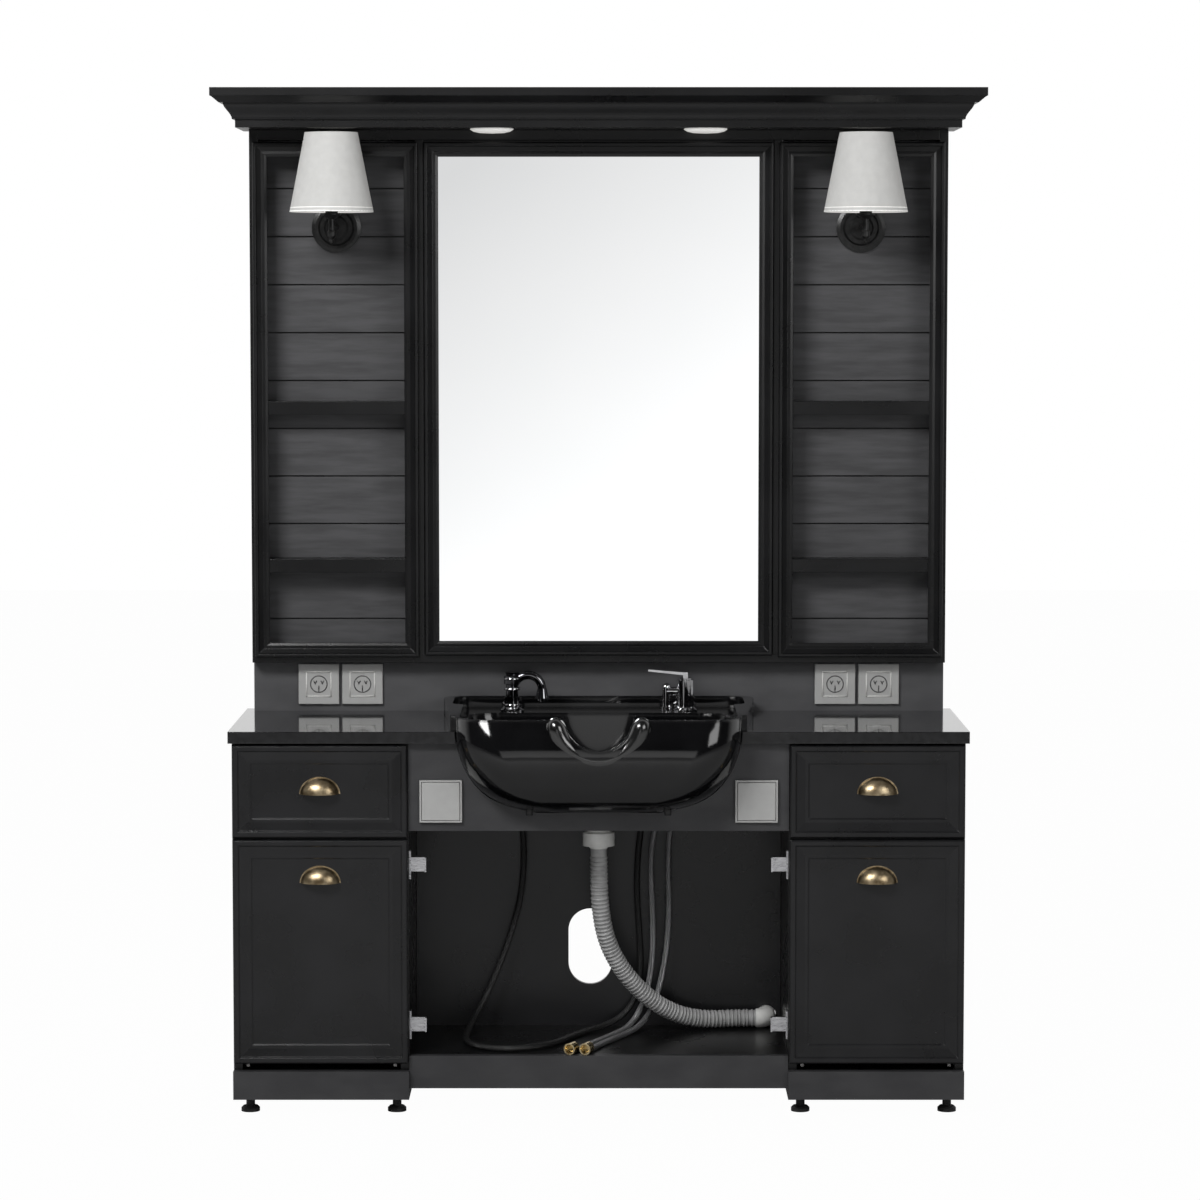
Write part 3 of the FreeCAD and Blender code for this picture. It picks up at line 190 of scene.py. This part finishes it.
def floor():
    """Pale floor, shown nearly white to the camera and darker to the gloss of the black fronts."""
    made = plain("floor", (0.42, 0.42, 0.42), 0.95)
    nodes, links = made.node_tree.nodes, made.node_tree.links
    mix = nodes.new("ShaderNodeMixShader")
    glow = nodes.new("ShaderNodeEmission")
    path = nodes.new("ShaderNodeLightPath")
    share = nodes.new("ShaderNodeMath")
    share.operation = "MULTIPLY"
    share.inputs[1].default_value = FLOOR_GLOW
    links.new(path.outputs["Is Camera Ray"], share.inputs[0])
    links.new(share.outputs[0], mix.inputs["Fac"])
    links.new(nodes["Principled BSDF"].outputs[0], mix.inputs[1])
    links.new(glow.outputs[0], mix.inputs[2])
    links.new(mix.outputs[0], nodes["Material Output"].inputs["Surface"])
    flat_quad("floor", [(-12, -12, 0), (12, -12, 0), (12, 14, 0), (-12, 14, 0)], made)


def studio():
    camera()
    world()
    floor()
    mirror_card()
    for name, (place, target, size, watts) in LIGHTS.items():
        holder = area_light(name, place, target, size, watts)
        holder.visible_glossy = name not in UNSEEN_IN_GLOSS
    bpy.context.scene.view_settings.view_transform = "Standard"


# ================================================================ materials
def finish(name, dark, light, grain=40.0, stretch=(1, 1, 1), rough=(0.3, 0.4), metallic=0.0, bump=0.05,
           bump_grain=None, coat=0.0, coat_rough=0.05, specular=0.5, emission=0.0, edge=0.0):
    """Procedural finish: mottled colour and roughness, with a fine relief and eased edges."""
    made = bpy.data.materials.new(name)
    made.use_nodes = True
    nodes, links = made.node_tree.nodes, made.node_tree.links
    shader = nodes["Principled BSDF"]
    place = nodes.new("ShaderNodeTexCoord")
    fit = nodes.new("ShaderNodeMapping")
    cloud = nodes.new("ShaderNodeTexNoise")
    tint = nodes.new("ShaderNodeValToRGB")
    polish = nodes.new("ShaderNodeMapRange")
    fine = nodes.new("ShaderNodeTexNoise")
    relief = nodes.new("ShaderNodeBump")
    fit.inputs["Scale"].default_value = stretch
    cloud.inputs["Scale"].default_value = grain
    cloud.inputs["Detail"].default_value = 6.0
    tint.color_ramp.elements[0].position = 0.35
    tint.color_ramp.elements[1].position = 0.65
    tint.color_ramp.elements[0].color = (*dark, 1)
    tint.color_ramp.elements[1].color = (*light, 1)
    polish.inputs["To Min"].default_value, polish.inputs["To Max"].default_value = rough
    fine.inputs["Scale"].default_value = bump_grain or grain * 6
    fine.inputs["Detail"].default_value = 4.0
    relief.inputs["Strength"].default_value = bump
    relief.inputs["Distance"].default_value = 0.001
    shader.inputs["Metallic"].default_value = metallic
    shader.inputs["Specular IOR Level"].default_value = specular
    shader.inputs["Coat Weight"].default_value = coat
    shader.inputs["Coat Roughness"].default_value = coat_rough
    shader.inputs["Emission Color"].default_value = (1.0, 0.98, 0.94, 1)
    shader.inputs["Emission Strength"].default_value = emission
    links.new(place.outputs["Object"], fit.inputs["Vector"])
    links.new(fit.outputs["Vector"], cloud.inputs["Vector"])
    links.new(fit.outputs["Vector"], fine.inputs["Vector"])
    links.new(cloud.outputs["Fac"], tint.inputs["Fac"])
    links.new(tint.outputs["Color"], shader.inputs["Base Color"])
    links.new(cloud.outputs["Fac"], polish.inputs["Value"])
    links.new(polish.outputs["Result"], shader.inputs["Roughness"])
    links.new(fine.outputs["Fac"], relief.inputs["Height"])
    links.new(relief.outputs["Normal"], shader.inputs["Normal"])
    if edge:
        eased = nodes.new("ShaderNodeBevel")
        eased.samples = 6
        eased.inputs["Radius"].default_value = edge
        links.new(eased.outputs["Normal"], relief.inputs["Normal"])
    return made


def woven(name, colour, thread, rough, metallic=0.0, emission=0.0, depth=0.35, angle=0.0):
    """Crossed threads, for the lamp shades and the braided hoses."""
    made = finish(name, [c * 0.93 for c in colour], colour, 60, rough=rough, metallic=metallic,
                  emission=emission)
    nodes, links = made.node_tree.nodes, made.node_tree.links
    place = nodes["Texture Coordinate"]
    relief = nodes["Bump"]
    turn = nodes.new("ShaderNodeMapping")
    turn.inputs["Rotation"].default_value = (0, angle, angle)
    links.new(place.outputs["Object"], turn.inputs["Vector"])
    waves = []
    for direction in ("X", "Z"):
        wave = nodes.new("ShaderNodeTexWave")
        wave.bands_direction = direction
        wave.inputs["Scale"].default_value = thread
        wave.inputs["Distortion"].default_value = 0.6
        links.new(turn.outputs["Vector"], wave.inputs["Vector"])
        waves.append(wave)
    cross = nodes.new("ShaderNodeMath")
    cross.operation = "MULTIPLY"
    links.new(waves[0].outputs["Fac"], cross.inputs[0])
    links.new(waves[1].outputs["Fac"], cross.inputs[1])
    links.new(cross.outputs[0], relief.inputs["Height"])
    relief.inputs["Strength"].default_value = depth
    return made


MATERIALS = {
    "black_lacquer": finish("black_lacquer", (0.0035, 0.0035, 0.0038), (0.0065, 0.0065, 0.007), 7,
                            (1, 1, 1), (0.24, 0.32),
                            bump=0.03, bump_grain=260, specular=0.4, edge=0.0022),
    "charcoal_planks": finish("charcoal_planks", (0.050, 0.050, 0.052), (0.070, 0.070, 0.073), 16,
                              (0.6, 4, 5), (0.45, 0.62),
                              bump=0.12, bump_grain=90, specular=0.2, edge=0.001),
    "panel_grey": finish("panel_grey", (0.030, 0.030, 0.032), (0.042, 0.042, 0.044), 9, (1, 1, 2),
                         (0.4, 0.52),
                         bump=0.08, bump_grain=240, specular=0.35),
    "splash_grey": finish("splash_grey", (0.060, 0.060, 0.063), (0.075, 0.075, 0.078), 12, (1, 1, 2),
                          (0.4, 0.5),
                          bump=0.06, bump_grain=240, specular=0.25),
    # socket_dark colours the dark ring and slot blocks on the sockets: painted shade of the recess edge and
    # the pin holes
    "socket_dark": finish("socket_dark", (0.05, 0.05, 0.05), (0.09, 0.09, 0.09), 200, rough=(0.4, 0.6),
                          bump=0.04),
    # front_lacquer is black_lacquer made a little lighter, for the fronts and the bay's back panels: the lift
    # is painted sheen
    "front_lacquer": finish("front_lacquer", (0.006, 0.006, 0.0065), (0.010, 0.010, 0.011), 8,
                            (1, 1, 1), (0.24, 0.32),
                            bump=0.04, bump_grain=240, specular=0.4, edge=0.0022),
    "counter_gloss": finish("counter_gloss", (0.004, 0.004, 0.0045), (0.011, 0.011, 0.012), 90,
                            (1, 1, 1), (0.08, 0.14),
                            bump=0.015, bump_grain=500, coat=0.6, coat_rough=0.03, edge=0.003),
    "drawer_board": finish("drawer_board", (0.34, 0.335, 0.325), (0.42, 0.41, 0.40), 30, (1, 6, 1),
                           (0.42, 0.55), bump=0.08),
    "aged_brass": finish("aged_brass", (0.20, 0.145, 0.080), (0.52, 0.42, 0.27), 55, (1, 1, 1),
                         (0.24, 0.46), metallic=1.0,
                         bump=0.16, bump_grain=500),
    "zinc_steel": finish("zinc_steel", (0.50, 0.50, 0.52), (0.78, 0.78, 0.80), 70, (1, 1, 4),
                         (0.2, 0.38), metallic=1.0, bump=0.1),
    "foot_rubber": finish("foot_rubber", (0.010, 0.010, 0.010), (0.022, 0.022, 0.022), 90,
                          rough=(0.6, 0.8), bump=0.2),
    "mirror_silver": finish("mirror_silver", (0.93, 0.94, 0.945), (0.95, 0.955, 0.96), 2,
                            rough=(0.008, 0.014), metallic=1.0,
                            bump=0.0),
    "plate_grey": finish("plate_grey", (0.335, 0.335, 0.33), (0.35, 0.35, 0.345), 60,
                         rough=(0.35, 0.42), bump=0.01,
                         bump_grain=900, edge=0.0015),
    # lamp_white glows; on the shade trims this glow is painted light, since the trims are no lamp
    "lamp_white": finish("lamp_white", (0.8, 0.8, 0.78), (0.88, 0.88, 0.86), 60, rough=(0.2, 0.3),
                         emission=0.35),
    "black_iron": finish("black_iron", (0.006, 0.006, 0.006), (0.016, 0.016, 0.016), 110,
                         rough=(0.24, 0.42), bump=0.12,
                         metallic=0.3),
    "shade_fabric": woven("shade_fabric", (0.50, 0.50, 0.49), 520, (0.75, 0.9), emission=0.10),
    "shade_trim": finish("shade_trim", (0.62, 0.62, 0.60), (0.72, 0.72, 0.70), 300, rough=(0.6, 0.8),
                         bump=0.3),
    "bulb_glass": finish("bulb_glass", (0.9, 0.88, 0.82), (0.95, 0.93, 0.88), 30, rough=(0.2, 0.3),
                         emission=0.8, bump=0.0),
    "basin_black": finish("basin_black", (0.0022, 0.0022, 0.0025), (0.004, 0.004, 0.0045), 14,
                          rough=(0.05, 0.09), bump=0.012,
                          bump_grain=60, specular=0.35, coat=0.35, coat_rough=0.02, edge=0.011),
    "neck_rubber": finish("neck_rubber", (0.004, 0.004, 0.004), (0.009, 0.009, 0.009), 60,
                          rough=(0.14, 0.22), bump=0.03,
                          specular=0.7, coat=0.6, edge=0.006),
    "chrome": finish("chrome", (0.78, 0.78, 0.80), (0.88, 0.88, 0.90), 40, rough=(0.05, 0.11),
                     metallic=1.0, bump=0.01),
    "dark_chrome": finish("dark_chrome", (0.13, 0.13, 0.14), (0.20, 0.20, 0.21), 40, rough=(0.06, 0.12),
                          metallic=1.0, bump=0.01),
    "waste_plastic": finish("waste_plastic", (0.62, 0.62, 0.60), (0.74, 0.74, 0.72), 40,
                            rough=(0.28, 0.4), bump=0.05),
    "spray_black": woven("spray_black", (0.012, 0.012, 0.012), 420, (0.35, 0.5), depth=0.5, angle=0.78),
    "braided_steel": woven("braided_steel", (0.48, 0.48, 0.49), 420, (0.28, 0.42), metallic=0.9,
                           depth=0.7, angle=0.78),
    "drain_grey": finish("drain_grey", (0.27, 0.27, 0.27), (0.34, 0.34, 0.34), 50, rough=(0.4, 0.5),
                         bump=0.08),
    "brass_nut": finish("brass_nut", (0.55, 0.42, 0.22), (0.72, 0.60, 0.36), 120, rough=(0.2, 0.34),
                        metallic=1.0, bump=0.06),
}


# ================================================================ hoses
SPRAY_ROUTE = ((-182, 150, 751), (-182, 150, 706), (-172, 147, 635), (-160, 147, 555), (-157, 150, 469),
               (-165, 151, 394), (-186, 148, 318), (-212, 145, 248), (-238, 132, 190), (-262, 100, 150),
               (-276, 50, 129), (-276, -10, 127), (-262, -66, 127), (-226, -104, 127), (-176, -112, 127),
               (-126, -88, 127), (-84, -40, 127), (-58, 22, 127), (-26, 80, 127), (12, 128, 129),
               (54, 156, 146), (82, 167, 188), (90, 168, 249), (86, 168, 323), (80, 168, 404),
               (82, 166, 484), (92, 162, 565), (118, 156, 641), (142, 150, 706), (142, 150, 751))
HOT_ROUTE = ((174, 150, 751), (174, 150, 716), (160, 144, 665), (136, 140, 607), (116, 138, 543),
             (109, 138, 472), (112, 138, 394), (115, 140, 321), (112, 142, 253), (100, 138, 192),
             (80, 122, 149), (56, 92, 129), (32, 50, 126), (10, 4, 126), (-12, -44, 126),
             (-34, -88, 126), (-50, -122, 126))
COLD_ROUTE = ((190, 150, 751), (190, 150, 716), (180, 144, 660), (162, 140, 603), (149, 138, 539),
              (146, 138, 468), (148, 139, 394), (146, 142, 321), (138, 146, 253), (124, 144, 192),
              (104, 128, 150), (80, 98, 130), (56, 54, 126), (34, 8, 126), (12, -40, 126),
              (-6, -84, 126), (-20, -122, 126))
DRAIN_ROUTE = ((0, 0, 525), (0, 0, 464), (3, 8, 399), (14, 26, 333), (40, 46, 275), (76, 70, 225),
               (120, 96, 182), (172, 120, 152), (230, 138, 141), (286, 149, 142), (332, 149, 142))
SPRAY_RADIUS, SUPPLY_RADIUS, DRAIN_RADIUS = 6.5, 6.0, 17.0


def hose(node, route, radius):
    curve = bpy.data.curves.new(node + "_line", "CURVE")
    curve.dimensions = "3D"
    spline = curve.splines.new("NURBS")
    spline.points.add(len(route) - 1)
    for point, place in zip(spline.points, route):
        point.co = (place[0] * MM, place[1] * MM, place[2] * MM, 1)
    spline.order_u = 3
    spline.use_endpoint_u = True
    spline.resolution_u = 8
    curve.bevel_depth = radius * MM
    curve.bevel_resolution = 6
    curve.materials.append(MATERIALS[NODE_SLOT[node]])
    piece = bpy.data.objects.new(node + "_line", curve)
    bpy.context.scene.collection.objects.link(piece)
    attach(piece, "station")
    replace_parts(piece, node)


def hoses(ribs):
    hose("spray_hose", SPRAY_ROUTE, SPRAY_RADIUS)
    hose("hot_hose", HOT_ROUTE, SUPPLY_RADIUS)
    hose("cold_hose", COLD_ROUTE, SUPPLY_RADIUS)
    hose("drain_hose", DRAIN_ROUTE, DRAIN_RADIUS)


# ================================================================ finishes of the cabinet work
REFINISHED = {
    "handset": "dark_chrome",
    "backsplash": "splash_grey",
    "apron": "panel_grey",
    "base_rails": "panel_grey",
    # these take the lighter front_lacquer: painted sheen on the same black lacquer
    "base_backs": "front_lacquer",
    "left_drawer_front": "front_lacquer",
    "right_drawer_front": "front_lacquer",
    "left_hamper_front": "front_lacquer",
    "right_hamper_front": "front_lacquer",
}


def finishes():
    for node, piece in frame["nodes"].items():
        material = MATERIALS[REFINISHED.get(node, NODE_SLOT[node])]
        piece.data.materials.clear()
        piece.data.materials.append(material)


# ================================================================ added detail
def piece(name, mesh, material, body="station"):
    """One added piece, riding on a CAD body."""
    data = bpy.data.meshes.new(name)
    mesh.to_mesh(data)
    mesh.free()
    data.materials.append(MATERIALS[material])
    data.polygons.foreach_set("use_smooth", [True] * len(data.polygons))
    made = bpy.data.objects.new(name, data)
    bpy.context.scene.collection.objects.link(made)
    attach(made, body)
    return made


def add_ring(mesh, centre, axis, major, minor, around=48, across=10):
    """Torus round an axis."""
    axis = Vector(axis).normalized()
    side = axis.orthogonal().normalized()
    other = axis.cross(side)
    loops = []
    for i in range(around):
        a = 2 * math.pi * i / around
        out = side * math.cos(a) + other * math.sin(a)
        loop = []
        for j in range(across):
            b = 2 * math.pi * j / across
            place = Vector(centre) + out * (major + minor * math.cos(b)) + axis * minor * math.sin(b)
            loop.append(mesh.verts.new(place))
        loops.append(loop)
    for i in range(around):
        for j in range(across):
            k, m = (i + 1) % around, (j + 1) % across
            mesh.faces.new((loops[i][j], loops[k][j], loops[k][m], loops[i][m]))


def add_block(mesh, centre, size, turn=0.0):
    """Box turned in its own XZ plane."""
    corners = []
    for x in (-0.5, 0.5):
        for y in (-0.5, 0.5):
            for z in (-0.5, 0.5):
                u, w = x * size[0], z * size[2]
                corners.append(mesh.verts.new((centre[0] + u * math.cos(turn) - w * math.sin(turn),
                                               centre[1] + y * size[1],
                                               centre[2] + u * math.sin(turn) + w * math.cos(turn))))
    for face in ((0, 1, 3, 2), (4, 6, 7, 5), (0, 4, 5, 1), (2, 3, 7, 6), (0, 2, 6, 4), (1, 5, 7, 3)):
        mesh.faces.new([corners[i] for i in face])


SOCKET_BEZEL, SOCKET_CUP = 0.052, 0.0175
BEZEL_LINE, BEZEL_RISE = 0.0022, 0.0024
# size of the dark blocks that paint the shade in the pin holes
SLOT = (0.0022, 0.0016, 0.0085)
SLOTS = ((-0.0062, 0.0035, -0.5), (0.0062, 0.0035, 0.5), (0.0, -0.0075, 0.0))      # across, up, turn


def socket_faces():
    """Square bezel on each wall socket, with a dark ring and three dark slot blocks that paint the shade in
    the round recess and the pin holes.
    """
    for node in ("left_outer_socket", "left_inner_socket", "right_inner_socket", "right_outer_socket"):
        low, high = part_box(node)
        x, z, y = (low.x + high.x) / 2, (low.z + high.z) / 2, low.y
        bezel = bmesh.new()
        half = SOCKET_BEZEL / 2
        for side in (-1, 1):
            add_block(bezel, (x + side * half, y, z), (BEZEL_LINE, BEZEL_RISE, SOCKET_BEZEL + BEZEL_LINE))
            add_block(bezel, (x, y, z + side * half), (SOCKET_BEZEL, BEZEL_RISE, BEZEL_LINE))
        piece(node + "_bezel", bezel, "shade_trim")
        # dark ring and slot blocks: painted shade in the round recess and the pin holes
        painted_shade = bmesh.new()
        add_ring(painted_shade, (x, y, z), (0, 1, 0), SOCKET_CUP, 0.0012)
        for offset, height, turn in SLOTS:
            add_block(painted_shade, (x + offset, y, z + height), SLOT, turn)
        piece(node + "_painted_shade", painted_shade, "socket_dark")


SHADE_TRIM = 0.0016
SHADE_TOP = 0.055                 # radius of the shade at its top
SHADE_SECOND_TRIM = 0.009         # height of the second ring over the foot


def shade_trims():
    """Rolled trim at the top and the foot of each lamp shade, in glowing lamp white: painted light on the
    rims.
    """
    low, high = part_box("sconce_shades")
    foot = (high.y - low.y) / 2
    y = (low.y + high.y) / 2
    for side, x in (("left", low.x + foot), ("right", high.x - foot)):
        trim = bmesh.new()
        add_ring(trim, (x, y, low.z + SHADE_TRIM), (0, 0, 1), foot - SHADE_TRIM, SHADE_TRIM, 72)
        add_ring(trim, (x, y, low.z + SHADE_SECOND_TRIM), (0, 0, 1), foot - 0.0022, SHADE_TRIM * 0.6, 72)
        add_ring(trim, (x, y, high.z - SHADE_TRIM), (0, 0, 1), SHADE_TOP - SHADE_TRIM, SHADE_TRIM, 72)
        # lamp_white makes these trims glow: painted light on the rims of the shade
        piece(side + "_shade_trim", trim, "lamp_white")


ROLL_REACH, ROLL_LOW, ROLL_RADIUS, ROLL_INSET, ROLL_ABOVE = 0.087, 0.737, 0.0205, 0.019, 0.004
BAND_HEIGHTS = {"handset": (0.8625, 0.8415), "handset_holder": (0.808, 0.7965)}
BAND_RADIUS, BAND = 0.0145, 0.0034
CORRUGATION_PITCH, CORRUGATION = 0.0085, 0.0026


def centreline(route, steps=24):
    """Points close together along the clamped quadratic curve that a hose follows."""
    points = [Vector(place) * MM for place in route]
    spans = len(points) - 2
    knots = [0, 0] + list(range(spans + 1)) + [spans, spans]
    line = []
    for i in range(spans * steps + 1):
        t = min(i / steps, spans - 1e-6)
        k = int(t) + 2
        a, b, c = points[k - 2], points[k - 1], points[k]
        u = (t - knots[k]) / (knots[k + 1] - knots[k])
        low = (t - knots[k - 1]) / (knots[k + 1] - knots[k - 1])
        high = (t - knots[k]) / (knots[k + 2] - knots[k])
        line.append((a.lerp(b, low)).lerp(b.lerp(c, high), u))
    return line


def corrugations():
    """Ribs round the drain hose, at an even pitch along it."""
    line = centreline(DRAIN_ROUTE)
    ribs = bmesh.new()
    travelled, due = 0.0, CORRUGATION_PITCH * 2
    for before, after in zip(line, line[1:]):
        travelled += (after - before).length
        if travelled >= due:
            add_ring(ribs, after, after - before, DRAIN_RADIUS * MM - CORRUGATION / 4, CORRUGATION, 32, 8)
            due += CORRUGATION_PITCH
    return piece("drain_hose_ribs", ribs, "drain_grey")


def tube(mesh, line, radius, around=20):
    """Round tube with domed ends along a flat line of points."""
    rings = []
    count = len(line)
    for i, point in enumerate(line):
        along = (line[min(i + 1, count - 1)] - line[max(i - 1, 0)]).normalized()
        side = Vector((0, 1, 0))
        up = along.cross(side)
        near = min(i, count - 1 - i)
        size = radius * math.sqrt(1 - max(0.0, 1 - (near + 0.35) / 5) ** 2)
        rings.append([mesh.verts.new(point + (side * math.cos(a) + up * math.sin(a)) * size)
                      for a in (2 * math.pi * j / around for j in range(around))])
    for before, after in zip(rings, rings[1:]):
        for j in range(around):
            k = (j + 1) % around
            mesh.faces.new((before[j], before[k], after[k], after[j]))
    mesh.faces.new(rings[0][::-1])
    mesh.faces.new(rings[-1])


def neck_roll():
    """Fat rounded roll over the edge of the basin's notch."""
    low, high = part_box("neck_rest")
    y = low.y + ROLL_INSET
    x = (low.x + high.x) / 2
    centre = ROLL_LOW + ROLL_REACH
    rise = high.z + ROLL_ABOVE
    line = []
    for i in range(49):
        a = math.pi + math.pi * i / 48
        z = centre + ROLL_REACH * math.sin(a)
        if z <= rise:
            line.append(Vector((x + ROLL_REACH * math.cos(a), y, z)))
    roll = bmesh.new()
    tube(roll, line, ROLL_RADIUS)
    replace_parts(piece("neck_roll", roll, "neck_rubber"), "neck_rest")


def tap_bands():
    """Bright rings round the handset and its holder."""
    low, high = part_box("handset_holder")
    x, y = (low.x + high.x) / 2, (low.y + high.y) / 2
    for node, heights in BAND_HEIGHTS.items():
        bands = bmesh.new()
        for z in heights:
            add_ring(bands, (x, y, z), (0, 0, 1), BAND_RADIUS, BAND, 40, 12)
        piece(node + "_bands", bands, "chrome", NODE_BODY[node])


studio()
hoses(corrugations())
finishes()
socket_faces()
shade_trims()
neck_roll()
tap_bands()
